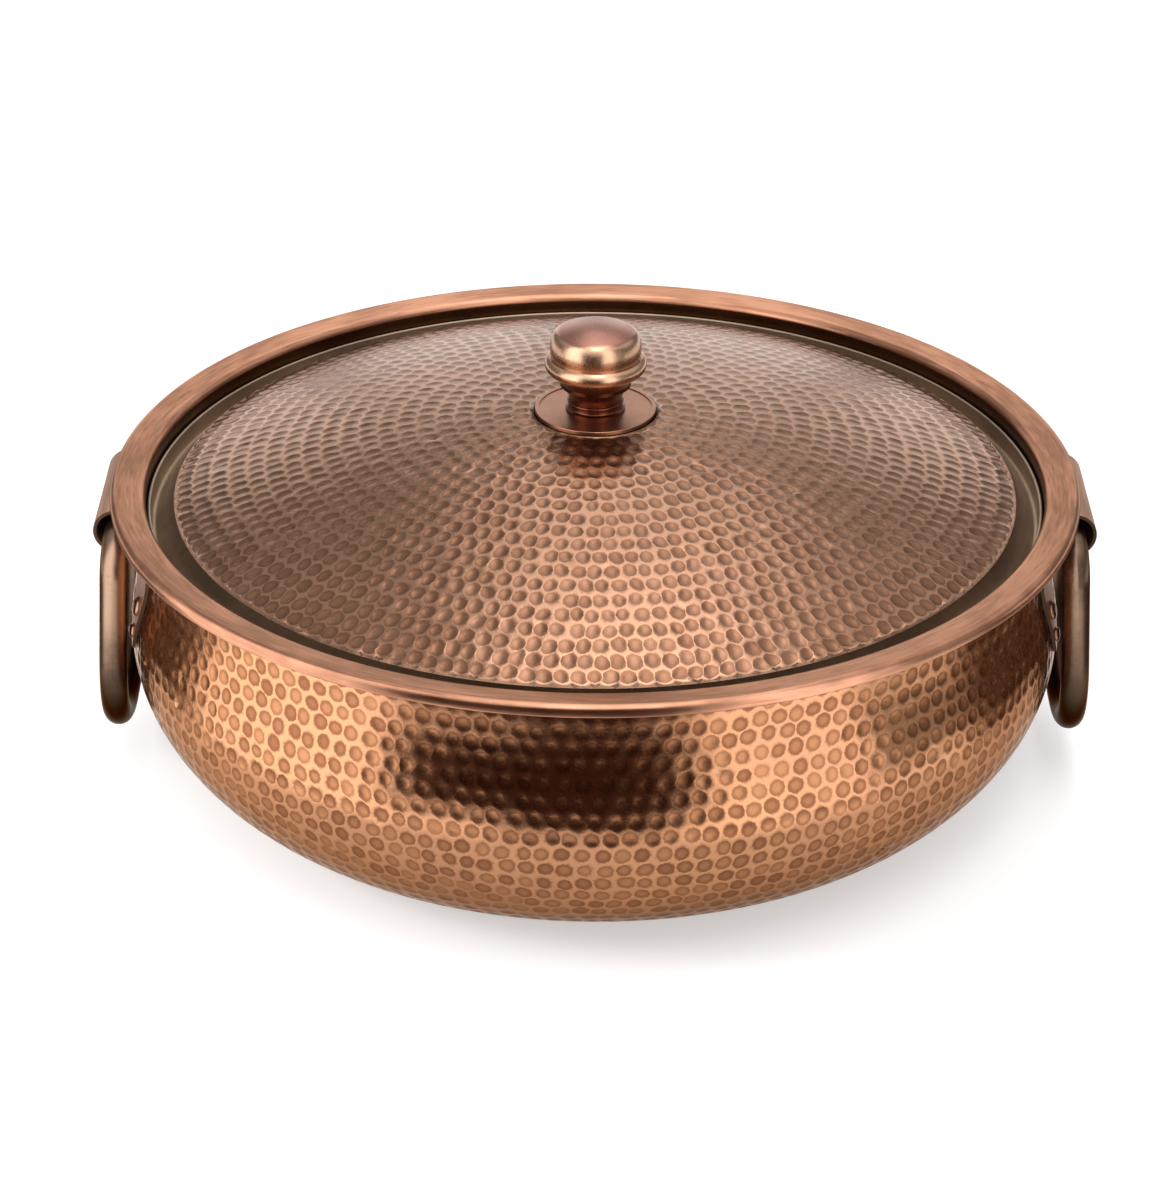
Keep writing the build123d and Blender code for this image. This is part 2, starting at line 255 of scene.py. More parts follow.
def strike_rows(surface, marks, rng):
    """Staggered rows of hammer strikes, a little uneven, as distances along the surface and angles."""
    total = surface.along[-1]
    rows = round(total / marks["row_gap"] - end_room)
    gap = total / (rows + end_room)
    first = (1 + end_room) / 2
    along, angle = [], []
    turn = 0.0
    for k in range(rows):
        s = gap * (k + first)
        count = round(2 * math.pi * np.interp(s, surface.along, surface.radius) / marks["pitch"])
        turn += math.pi / count + rng.normal(0, row_turn_spread) * math.pi / count
        steps = np.arange(count) + rng.normal(0, place_spread, count)
        sway = np.sin(np.arange(count) * rng.uniform(0.03, 0.08) + rng.uniform(0, 6))
        along.append(s + 0.5 * marks["stray"] * sway + rng.normal(0, marks["stray"], count))
        angle.append(turn + 2 * math.pi * steps / count)
    return np.concatenate(along), np.concatenate(angle)


def hammered(surface, marks, inner_count, outer_count, seed, inward):
    """Points, faces and the two point attributes of a hammered surface, with its two boundary rings.

    Strikes and boundary points are the sites of a triangle net. Each corner of a triangle gets its
    share of that strike's hollow, and the rest is the land between the marks.
    """
    rng = np.random.default_rng(seed)
    along, angle = strike_rows(surface, marks, rng)
    strikes = surface.flat(along, angle)

    def boundary(count, along_it):
        return surface.flat(np.full(count, along_it), 2 * math.pi * np.arange(count) / count)

    inner, outer = boundary(inner_count, 0.0), boundary(outer_count, surface.along[-1])
    sites = np.concatenate([strikes, inner, outer])
    struck = len(strikes)
    is_inner = np.zeros(len(sites), bool)
    is_inner[struck:struck + inner_count] = True
    all_faces, nearest = 0, 1e-9
    net = delaunay_2d_cdt([Vector(p) for p in sites], [], [], all_faces, nearest)[2]
    triangles = [t for t in net if not all(is_inner[i] for i in t)]

    _, _, scale = surface.place(sites)
    tones = rng.uniform(0, 1, len(sites))
    size = rng.normal(1, size_spread, struck).clip(*size_range)
    start = surface.along[-1] - growing_rows * marks["row_gap"]
    size *= 1 + marks["growth"] * np.clip((along - start) / marks["row_gap"], 0, 1)
    lean = np.arctan2(sites[:struck, 1], sites[:struck, 0]) + rng.normal(0, lean_spread, struck)
    squeeze = rng.normal(1, squeeze_spread, struck).clip(*squeeze_range)
    half = np.stack([marks["tall"] * size * squeeze, marks["wide"] * size / squeeze], 1)
    depths = marks["depth"] * size * rng.normal(1, depth_spread, struck).clip(*depth_range)
    depths *= calm_depth + (1 - calm_depth) * np.clip((surface.along[-1] - along) / marks["calm"], 0, 1)
    skew = rng.normal(0, slant_spread, (struck, 2))

    def within(p, c):
        """A point in a mark's own measure, in which the mark's edge is at 1."""
        x, y = (p[0] - sites[c][0]) * scale[c], (p[1] - sites[c][1]) * scale[c]
        cosine, sine = math.cos(lean[c]), math.sin(lean[c])
        return (x * cosine + y * sine) / half[c][0], (y * cosine - x * sine) / half[c][1]

    flat, wear, tone, low = [], [], [], []
    index = {}

    def lowest(p, corners):
        """How deep the nearest strikes reach at a point."""
        depth = 0.0
        for c in corners:
            if c < struck:
                u, v = within(p, c)
                slant = 1 + skew[c][0] * u + skew[c][1] * v
                depth = min(depth, -depths[c] * (1 - u * u - v * v) * slant)
        return depth

    def vertex(key, p, corners, worn, shade):
        if key not in index:
            index[key] = len(flat)
            flat.append((float(p[0]), float(p[1])))
            low.append(lowest(p, corners))
            wear.append(worn)
            tone.append(shade)
        return index[key]

    def middle(a, b):
        """Halfway between two sites, on the ring itself where both are neighbours on it."""
        p = (sites[a] + sites[b]) / 2
        both_inner = is_inner[a] and is_inner[b]
        both_outer = a >= struck + inner_count and b >= struck + inner_count
        if both_inner or both_outer:
            p = p * (np.hypot(*sites[a]) / np.hypot(*p))
        return p

    faces = []
    for number, t in enumerate(triangles):
        corners = list(t)
        knot_at = sites[corners].mean(0)
        knot = vertex(("k", number), knot_at, corners, land_wear, plain_tone)
        for i in range(3):
            a, b, c = corners[i], corners[(i + 1) % 3], corners[(i + 2) % 3]
            # The inner boundary ring and the land between its points take the hollow's wear, so they stay
            # brown: painted shadow round the knob's disc on the lid, and round the flat base on the pot
            mids = [vertex(("m", min(a, o), max(a, o)), middle(a, o), (a, o),
                           hollow_wear if is_inner[a] and is_inner[o] else land_wear, plain_tone)
                    for o in (b, c)]
            worn = bottom_wear if a < struck else hollow_wear if is_inner[a] else land_wear
            centre = vertex(("s", a), sites[a], (a,), worn, tones[a])
            if a >= struck:
                faces.append((centre, mids[0], knot, mids[1]))
                continue

            def spoke(end, share):
                reach = min(1 / math.hypot(*within(end, a)), longest_spoke)
                return sites[a] + (end - sites[a]) * share * reach

            edge_ends = [middle(a, b), middle(a, c)]
            hollows = [vertex(("i", a, o), spoke(e, hollow_share), (a,), hollow_wear, tones[a])
                       for o, e in zip((b, c), edge_ends)]
            edges = [vertex(("r", a, o), spoke(e, 1.0), (a, o), edge_wear, tones[a])
                     for o, e in zip((b, c), edge_ends)]
            corner = vertex(("t", a, number), spoke(knot_at, 1.0), corners, edge_wear, tones[a])
            faces += [(centre, hollows[0], hollows[1]), (hollows[0], corner, hollows[1]),
                      (hollows[0], edges[0], corner), (hollows[1], corner, edges[1]),
                      (edges[0], mids[0], knot, corner), (corner, knot, mids[1], edges[1])]

    points, normals, _ = surface.place(np.array(flat))
    points = points + normals * np.array(low)[:, None]
    if inward:
        faces = [f[::-1] for f in faces]

    def ring_vertices(first, count):
        found_ring = []
        for i in range(count):
            a, b = first + i, first + (i + 1) % count
            found_ring += [index[("s", a)], index[("m", min(a, b), max(a, b))]]
        return found_ring

    return {"points": points, "faces": faces, "wear": wear, "tone": tone,
            "inner": ring_vertices(struck, inner_count),
            "outer": ring_vertices(struck + inner_count, outer_count)}


class Shell:
    """Collects points and faces of one watertight piece, with a material's number for each face."""

    def __init__(self, part):
        self.points = [tuple(p) for p in part["points"]]
        self.faces = list(part["faces"])
        self.wear = list(part["wear"])
        self.tone = list(part["tone"])
        self.finish = [MARKED] * len(self.faces)

    def add_face(self, face, finish):
        self.faces.append(face)
        self.finish.append(finish)

    def sweep(self, ring, profile, flip, finish):
        """Carries a ring along a profile of (radius, height) pairs and returns the last ring."""
        count = len(ring)
        for radius, height in profile:
            first = len(self.points)
            for i in range(count):
                angle = 2 * math.pi * i / count
                self.points.append((radius * math.cos(angle), radius * math.sin(angle), height))
            self.wear += [land_wear] * count
            self.tone += [plain_tone] * count
            new = list(range(first, first + count))
            self.join(ring, new, flip, finish)
            ring = new
        return ring

    def join(self, ring, new, flip, finish):
        """Joins two rings of one count."""
        count = len(ring)
        for i in range(count):
            j = (i + 1) % count
            quad = (ring[i], ring[j], new[j], new[i])
            self.add_face(quad[::-1] if flip else quad, finish)

    def bridge(self, small, large, finish):
        """Joins two rings of different counts."""
        i = j = 0
        while i < len(small) or j < len(large):
            a, b = small[i % len(small)], large[j % len(large)]
            if j >= len(large) or (i < len(small) and i * len(large) <= j * len(small)):
                i += 1
                self.add_face((b, small[i % len(small)], a), finish)
            else:
                j += 1
                self.add_face((b, large[j % len(large)], a), finish)

    def cap(self, ring, height, flip, finish):
        """Closes a ring with a fan to the axis."""
        tip = len(self.points)
        self.points.append((0.0, 0.0, height))
        self.wear.append(land_wear)
        self.tone.append(plain_tone)
        for i in range(len(ring)):
            fan = (ring[i], ring[(i + 1) % len(ring)], tip)
            self.add_face(fan[::-1] if flip else fan, finish)

    def piece(self, name, finishes):
        mesh = bpy.data.meshes.new(name)
        mesh.from_pydata([(x * MM, y * MM, z * MM) for x, y, z in self.points], [], self.faces)
        for key, values in (("strike_wear", self.wear), ("strike_tone", self.tone)):
            attribute = mesh.attributes.new(key, "FLOAT", "POINT")
            attribute.data.foreach_set("value", np.array(values, np.float32))
        mesh.polygons.foreach_set("use_smooth", [True] * len(mesh.polygons))
        for finish in finishes:
            mesh.materials.append(finish)
        mesh.polygons.foreach_set("material_index", self.finish)
        mesh.validate()
        obj = bpy.data.objects.new(name, mesh)
        bpy.context.scene.collection.objects.link(obj)
        return obj


def rounded_end(point, sheet, round_radius):
    """The cut end of a sheet that points down: two rounded edges, from its right face to its left."""
    x, z = point
    end = []
    quarters = ((x - sheet / 2 + round_radius, 180, 270), (x + sheet / 2 - round_radius, 270, 360))
    for centre_x, first, last in quarters:
        for angle in np.radians(np.linspace(first, last, 5)):
            end.append((centre_x + round_radius * math.cos(angle), z + round_radius * math.sin(angle)))
    return end


def hammered_pot(finishes):
    """The bowl: hammered outside, with a plain base, rim and inside."""
    wall = pot_middle_line()
    face, normals = wall.face(half_sheet)
    part = hammered(Surface(face, normals), bowl_marks, inner_count=90, outer_count=150, seed=11, inward=True)
    shell = Shell(part)
    shell.cap(part["inner"], 0.0, flip=False, finish=MARKED)

    rim = rim_middle_line()
    under = [tuple(p) for p in rim.face(half_sheet)[0][1:]]
    over = [tuple(p) for p in rim.face(-half_sheet)[0][::-1]]
    end = rounded_end(rim.points[-1], pot_sheet, lip_edge_round)[1:-1]
    inside = [tuple(p) for p in wall.face(-half_sheet)[0][::-1][1::2]]
    crest_end = len(over) - 2          # the last two points lie on the neck's inside
    ring = shell.sweep(part["outer"], under + end + over[:crest_end], flip=True, finish=RIM)
    ring = shell.sweep(ring, over[crest_end:] + inside, flip=True, finish=INSIDE)
    shell.cap(ring, pot_sheet, flip=True, finish=INSIDE)
    return shell.piece("hammered_pot", finishes)


def hammered_lid(finishes):
    """The lid: hammered on its dome, with a plain border and underside and a hole for the knob's screw."""
    border = lid_border_line()
    marked = lid_marked_line(border)
    face, normals = marked.face(half_lid)
    part = hammered(Surface(face[::-1], normals[::-1]), lid_marks, inner_count=24, outer_count=140, seed=7,
                    inward=False)
    shell = Shell(part)

    lip_x, lip_z = border.points[0][0], border.points[0][1] - half_lid
    lip_end = [(lip_x + half_lid * math.cos(a), lip_z + half_lid * math.sin(a))
               for a in np.linspace(math.pi, 0, 9)]
    below_lip_end = lip_z - 0.01
    top = [tuple(p) for p in border.face(half_lid)[0][::-1] if p[1] < below_lip_end]
    under = [tuple(p) for p in border.face(-half_lid)[0] if p[1] < below_lip_end]
    under += [tuple(p) for p in marked.face(-half_lid)[0][1::3]]
    pad_top = face[-1][1]
    hole = [(screw_hole_radius, pad_top - lid_sheet), (screw_hole_radius, pad_top)]
    ring = shell.sweep(part["outer"], top[1:] + lip_end, flip=False, finish=RIM)
    ring = shell.sweep(ring, under + hole, flip=False, finish=INSIDE)
    shell.bridge(part["inner"], ring, finish=MARKED)
    return shell.piece("hammered_lid", finishes)


# The grain of the satin metals, in ripples per metre, and how deep the finest grain is, in metres
satin_grain = 700.0
bump_distance = 0.0002


class Shader:
    """Short calls for a node tree."""

    def __init__(self, tree):
        self.tree = tree
        self.tree.nodes.clear()

    def node(self, kind, **settings):
        made = self.tree.nodes.new(kind)
        for key, value in settings.items():
            setattr(made, key, value)
        return made

    def plug(self, socket, value):
        """Links a socket to another, or sets its value."""
        if isinstance(value, bpy.types.NodeSocket):
            self.tree.links.new(value, socket)
        else:
            socket.default_value = value

    def math(self, operation, a, b=None):
        made = self.node("ShaderNodeMath", operation=operation)
        self.plug(made.inputs[0], a)
        if b is not None:
            self.plug(made.inputs[1], b)
        return made.outputs[0]

    def steps(self, value, low, high, out_low=0.0, out_high=1.0):
        """A smooth step from out_low at low to out_high at high."""
        made = self.node("ShaderNodeMapRange", interpolation_type="SMOOTHSTEP")
        for socket, x in zip(made.inputs, (value, low, high, out_low, out_high)):
            self.plug(socket, x)
        return made.outputs[0]

    def mix(self, share, a, b):
        """Colour a where share is 0 and b where it is 1."""
        colour_a, colour_b, colour_out = 6, 7, 2
        made = self.node("ShaderNodeMix", data_type="RGBA")
        self.plug(made.inputs[0], share)
        self.plug(made.inputs[colour_a], a)
        self.plug(made.inputs[colour_b], b)
        return made.outputs[colour_out]

    def axes(self, vector):
        """The three parts of a vector."""
        split = self.node("ShaderNodeSeparateXYZ")
        self.plug(split.inputs[0], vector)
        return split.outputs

    def object_coordinates(self):
        return self.node("ShaderNodeTexCoord").outputs["Object"]

    def noise(self, scale, detail=3.0, roughness=0.5):
        made = self.node("ShaderNodeTexNoise")
        self.plug(made.inputs["Vector"], self.object_coordinates())
        made.inputs["Scale"].default_value = scale
        made.inputs["Detail"].default_value = detail
        made.inputs["Roughness"].default_value = roughness
        return made.outputs["Fac"]

    def lathe_noise(self, scale, along):
        """Noise drawn out round the pot's axis, as rubbing and polishing leave it.

        scale is how fine it is across the rubbing, and along how fine it is with it.
        """
        x, y, z = self.axes(self.object_coordinates())
        radius = self.math("SQRT", self.math("ADD", self.math("MULTIPLY", x, x), self.math("MULTIPLY", y, y)))
        join = self.node("ShaderNodeCombineXYZ")
        self.plug(join.inputs[0], self.math("MULTIPLY", self.math("DIVIDE", x, radius), along))
        self.plug(join.inputs[1], self.math("MULTIPLY", self.math("DIVIDE", y, radius), along))
        self.plug(join.inputs[2], self.math("MULTIPLY", self.math("ADD", radius, z), scale))
        made = self.node("ShaderNodeTexNoise")
        self.plug(made.inputs["Vector"], join.outputs[0])
        made.inputs["Scale"].default_value = 1.0
        made.inputs["Detail"].default_value = 3.0
        return made.outputs["Fac"]

    def bump(self, height, strength):
        made = self.node("ShaderNodeBump")
        made.inputs["Strength"].default_value = strength
        made.inputs["Distance"].default_value = bump_distance
        self.plug(made.inputs["Height"], height)
        return made.outputs[0]

    def blotches(self, fine):
        """Faint uneven patches with a fine grain in them."""
        patches = self.math("MULTIPLY", self.noise(24.0, detail=4.0, roughness=0.6), 0.8)
        return self.steps(self.math("ADD", patches, self.math("MULTIPLY", fine, 0.2)), 0.32, 0.68)

    def swing(self, noise, reach):
        """Noise about zero, from half the reach below it to half above."""
        return self.math("MULTIPLY", self.math("SUBTRACT", noise, 0.5), reach)

    def satin(self, fine, rough):
        """Roughness that the grain moves a little to both sides of rough."""
        spread = 0.14
        return self.math("ADD", self.math("MULTIPLY", fine, spread), rough - spread / 2)

    def attribute(self, name):
        return self.node("ShaderNodeAttribute", attribute_name=name).outputs["Fac"]

    def metal(self, colour, roughness, normal=None, edge=(1.0, 1.0, 1.0, 1.0)):
        """Bare metal. edge tints what it reflects at a grazing angle."""
        made = self.node("ShaderNodeBsdfPrincipled")
        made.inputs["Metallic"].default_value = 1.0
        made.inputs["Specular Tint"].default_value = edge
        self.plug(made.inputs["Base Color"], colour)
        self.plug(made.inputs["Roughness"], roughness)
        if normal is not None:
            self.plug(made.inputs["Normal"], normal)
        out = self.node("ShaderNodeOutputMaterial")
        self.plug(out.inputs["Surface"], made.outputs[0])


def material(name):
    made = bpy.data.materials.new(name)
    made.use_nodes = True
    return made, Shader(made.node_tree)


def rgb(red, green, blue):
    return (red, green, blue, 1.0)


def hammered_copper(name, land, land_warm, patina, patina_pale, edge, painted_low_shade=0.0):
    """Copper with brown patina left in the hammer marks and rubbed bright between them. The brown is darkest
    at the marks' edges, partly as painted shade that rounds them.

    The last argument is how much of the brown is painted all over the lowest part, as painted shade for the
    shadowed floor that the bowl reflects there.
    """
    made, s = material(name)
    wear = s.attribute("strike_wear")
    tone = s.attribute("strike_tone")
    fine = s.noise(900.0, detail=4.0, roughness=0.6)
    patchy = s.noise(14.0, roughness=0.55)
    ragged = s.math("ADD", wear, s.swing(fine, 0.16))
    rubbed = s.steps(ragged, 0.82, 0.95)
    patina_and_edge_shade = s.math("ADD", s.math("MULTIPLY", tone, 0.5), s.math("MULTIPLY", patchy, 0.5))
    # Towards a mark's edge the brown darkens: painted shade that rounds the mark, over its patina
    patina_and_edge_shade = s.math("ADD", patina_and_edge_shade, s.steps(ragged, 0.3, 0.85, -0.1, 0.3))
    brown = s.mix(s.steps(patina_and_edge_shade, 0.15, 0.95), patina_pale, patina)
    bright = s.mix(s.steps(patchy, 0.35, 0.65), land, land_warm)
    colour = s.mix(rubbed, brown, bright)
    # Painted shade: the lowest part of the bowl is darkened towards the brown
    if painted_low_shade:
        height = s.axes(s.object_coordinates())[2]
        low = s.steps(s.math("ADD", height, s.swing(patchy, 0.03)), 0.0, 0.07, painted_low_shade, 0.0)
        colour = s.mix(low, colour, patina)
    roughness = s.math("ADD", s.steps(rubbed, 0.0, 1.0, 0.26, 0.2), s.swing(fine, 0.1))
    s.metal(colour, roughness, s.bump(fine, 0.16), edge)
    return made


def plain_metal(name, colour, colour_dark, rough):
    """Satin metal with faint blotches and a fine rubbed grain."""
    made, s = material(name)
    fine = s.noise(satin_grain, roughness=0.6)
    s.metal(s.mix(s.blotches(fine), colour_dark, colour), s.satin(fine, rough), s.bump(fine, 0.12))
    return made


def rubbed_rim(name, colour, colour_dark):
    """Sheet rubbed lengthwise, with streaks round the pot and brown and pink patches."""
    made, s = material(name)
    streak = s.lathe_noise(900.0, along=14.0)
    patch = s.lathe_noise(60.0, along=5.0)
    fine = s.noise(800.0, roughness=0.6)
    share = s.math("ADD", s.math("MULTIPLY", streak, 0.45), s.math("MULTIPLY", patch, 0.55))
    height = s.math("ADD", s.math("MULTIPLY", streak, 0.7), s.math("MULTIPLY", fine, 0.3))
    s.metal(s.mix(s.steps(share, 0.36, 0.64), colour_dark, colour), s.satin(streak, 0.3),
            s.bump(height, 0.13), rgb(0.9, 0.82, 0.72))
    return made


def bracket_metal(name, colour, colour_dark, curl_shade_colour, rough):
    """Satin sheet whose cut ends, which face along the handle's bar, are painted black: painted shade inside
    the strap's curl round the bar.
    """
    made, s = material(name)
    fine = s.noise(satin_grain, roughness=0.6)
    along_bar = s.axes(s.node("ShaderNodeNewGeometry").outputs["True Normal"])[1]
    # Painted shade: faces that point along the bar are turned near black
    end = s.steps(s.math("ABSOLUTE", along_bar), 0.7, 0.9)
    face = s.mix(s.blotches(fine), colour_dark, colour)
    s.metal(s.mix(end, face, curl_shade_colour), s.satin(fine, rough), s.bump(fine, 0.14))
    return made


def knob_metal(name, neck, cap, top):
    """Polished knob: red-brown below the bead, golden on its cap and dull pink on its top. The red-brown is
    partly painted shade under the bead, and the golden cap partly a painted sheen.
    """
    made, s = material(name)
    fine = s.noise(satin_grain, roughness=0.6)
    level = s.math("ADD", s.axes(s.object_coordinates())[2], s.swing(s.noise(90.0), 0.0016))
    height = s.math("SUBTRACT", level, disc_top * MM)
    above_neck = s.steps(height, (knob_bead_foot - 1.6) * MM, (knob_bead_foot + 0.6) * MM)
    on_top = s.steps(height, (knob_facet_height - 0.9) * MM, (knob_facet_height + 0.1) * MM)
    # The colours by height stand partly for light: painted shade below the bead, painted sheen on the cap
    colour = s.mix(on_top, s.mix(above_neck, neck, cap), top)
    colour = s.mix(s.steps(s.noise(60.0), 0.3, 0.7, 0.3, 0.0), colour, neck)
    s.metal(colour, s.satin(fine, 0.27), s.bump(fine, 0.1))
    return made


def handle_metal(name, colour, colour_dark, rough):
    """Bronze rod, rubbed bright in blotches higher up, and painted near black towards the bottom of the loop
    as painted shade.
    """
    made, s = material(name)
    fine = s.noise(satin_grain, roughness=0.6)
    level = s.math("ADD", s.axes(s.object_coordinates())[2], s.swing(s.noise(30.0), 0.02))
    # Painted shade: below this the rod turns to the near-black colour
    clear_of_painted_shade = s.steps(level, 0.03, 0.09)
    share = s.math("MULTIPLY", s.steps(s.blotches(fine), 0.0, 1.0, 0.5, 1.0), clear_of_painted_shade)
    s.metal(s.mix(share, colour_dark, colour), s.satin(fine, rough), s.bump(fine, 0.12),
            rgb(0.5, 0.42, 0.36))
    return made


disc_top = lid_pad_height() + disc_sheet

# Materials, each with its colours and then its roughness
# The inside of the pot, the lid's underside and the lid's seat ring are painted dark: painted shade in the
# gap between the rim and the lid
inside_painted_shade = (rgb(0.17, 0.085, 0.045), rgb(0.10, 0.045, 0.022), 0.34)
pot_copper = hammered_copper("pot_copper", rgb(0.42, 0.205, 0.115), rgb(0.46, 0.225, 0.115),
                             rgb(0.18, 0.072, 0.034), rgb(0.34, 0.155, 0.076), rgb(0.74, 0.62, 0.53),
                             painted_low_shade=0.6)
lid_copper = hammered_copper("lid_copper", rgb(0.36, 0.195, 0.125), rgb(0.385, 0.205, 0.128),
                             rgb(0.185, 0.088, 0.05), rgb(0.27, 0.137, 0.083), rgb(0.97, 0.95, 0.93))
rim_copper = rubbed_rim("rim_copper", rgb(0.53, 0.255, 0.158), rgb(0.31, 0.145, 0.088))
border_copper = plain_metal("border_copper", rgb(0.43, 0.32, 0.23), rgb(0.31, 0.23, 0.165), 0.5)
inner_copper = plain_metal("inner_copper", *inside_painted_shade)
seat_copper = plain_metal("seat_copper", *inside_painted_shade)
# The brackets' last colour is the painted shade on their cut ends
bracket_copper = bracket_metal("bracket_copper", rgb(0.52, 0.275, 0.165), rgb(0.38, 0.195, 0.11),
                               rgb(0.05, 0.028, 0.018), 0.43)
rivet_copper = plain_metal("rivet_copper", rgb(0.34, 0.185, 0.115), rgb(0.17, 0.085, 0.05), 0.3)
disc_copper = plain_metal("disc_copper", rgb(0.46, 0.24, 0.15), rgb(0.34, 0.16, 0.095), 0.3)
knob_copper = knob_metal("knob_copper", rgb(0.12, 0.038, 0.022), rgb(0.60, 0.365, 0.235),
                         rgb(0.36, 0.17, 0.125))
bronze = handle_metal("handle_bronze", rgb(0.28, 0.18, 0.123), rgb(0.024, 0.013, 0.009), 0.32)
brass = plain_metal("screw_brass", rgb(0.55, 0.41, 0.19), rgb(0.43, 0.30, 0.14), 0.28)

# The hammered pieces take the place of the smooth solids
pot = hammered_pot([pot_copper, rim_copper, inner_copper])
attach(pot, "pot")
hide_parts("pot_body")

lid = hammered_lid([lid_copper, border_copper, inner_copper])
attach(lid, "lid")
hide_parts("lid")

node_materials = {
    "lid_seat_ring": seat_copper,
    "handle_bracket_left": bracket_copper,
    "handle_bracket_right": bracket_copper,
    "bracket_rivets_left": rivet_copper,
    "bracket_rivets_right": rivet_copper,
    "knob_disc": disc_copper,
    "knob_head": knob_copper,
    "ring_handle_left": bronze,
    "ring_handle_right": bronze,
    "knob_washer": brass,
    "knob_screw": brass,
}
for name, finish in node_materials.items():
    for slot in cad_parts[name].material_slots:
        slot.material = finish


def studio_world():
    """Soft light by direction: a strip overhead, a pale back with a column over it, and soft boxes."""
    world = bpy.data.worlds.new("studio")
    bpy.context.scene.world = world
    world.use_nodes = True
    s = Shader(world.node_tree)
    direction = s.node("ShaderNodeTexCoord").outputs["Generated"]
    x, y, z = s.axes(direction)

    def towards(azimuth, elevation):
        """The cosine of the angle from a direction. Azimuth 0 is the camera's side, 90 the right."""
        a, e = math.radians(azimuth), math.radians(elevation)
        made = s.node("ShaderNodeVectorMath", operation="DOT_PRODUCT")
        s.plug(made.inputs[0], direction)
        made.inputs[1].default_value = (math.sin(a) * math.cos(e), -math.cos(a) * math.cos(e), math.sin(e))
        return made.outputs["Value"]

    # The strip overhead, a little to the right, which fades towards the back
    beside = s.math("ABSOLUTE", s.math("SUBTRACT", x, 0.05))
    strip = s.math("MULTIPLY", s.steps(beside, 0.26, 0.08), s.steps(towards(180, 82.5), 0.62, 0.74))
    strip = s.math("MULTIPLY", strip, s.steps(y, 0.75, 0.15, 1.4, 2.7))

    # The back and the column over it, which show in the rim and the lid
    aside = s.math("ABSOLUTE", x)
    back = s.math("MULTIPLY", s.steps(y, 0.05, 0.5), s.steps(z, 0.62, 0.25))
    back = s.math("MULTIPLY", back, s.steps(aside, 0.08, 0.24, 0.85, 1.25))
    back = s.math("MULTIPLY", back, s.steps(aside, 0.44, 0.36))
    column = s.math("MULTIPLY", s.steps(y, 0.05, 0.5), s.steps(z, 0.5, 0.61))
    column = s.math("MULTIPLY", column,
                    s.math("MULTIPLY", s.steps(z, 0.72, 0.63), s.steps(aside, 0.12, 0.04)))

    # Soft boxes high in front and on both sides
    front = s.steps(towards(0, 60), 0.68, 0.92)
    right = s.steps(towards(110, 56), 0.72, 0.95, 0.0, 0.7)
    left = s.steps(towards(-120, 60), 0.75, 0.95, 0.0, 0.4)

    quiet_grey = 0.26
    glow = quiet_grey
    for part in (strip, back, column, front, right, left):
        glow = s.math("ADD", part, glow)
    background = s.node("ShaderNodeBackground")
    s.plug(background.inputs["Color"], rgb(1.0, 1.0, 1.0))
    s.plug(background.inputs["Strength"], glow)
    out = s.node("ShaderNodeOutputWorld")
    s.plug(out.inputs["Surface"], background.outputs[0])


def tone_by_azimuth(azimuth, bands, rest):
    """A colour or height by azimuth. A band is (from, to, value, edge width), with angles in degrees."""
    tone = np.array(rest)
    for start, end, colour, edge in bands:
        inside = min((azimuth - start) / edge + 0.5, (end - azimuth) / edge + 0.5)
        share = max(0.0, min(1.0, inside))
        tone = tone + (np.array(colour) - tone) * share * share * (3 - 2 * share)
    return tone


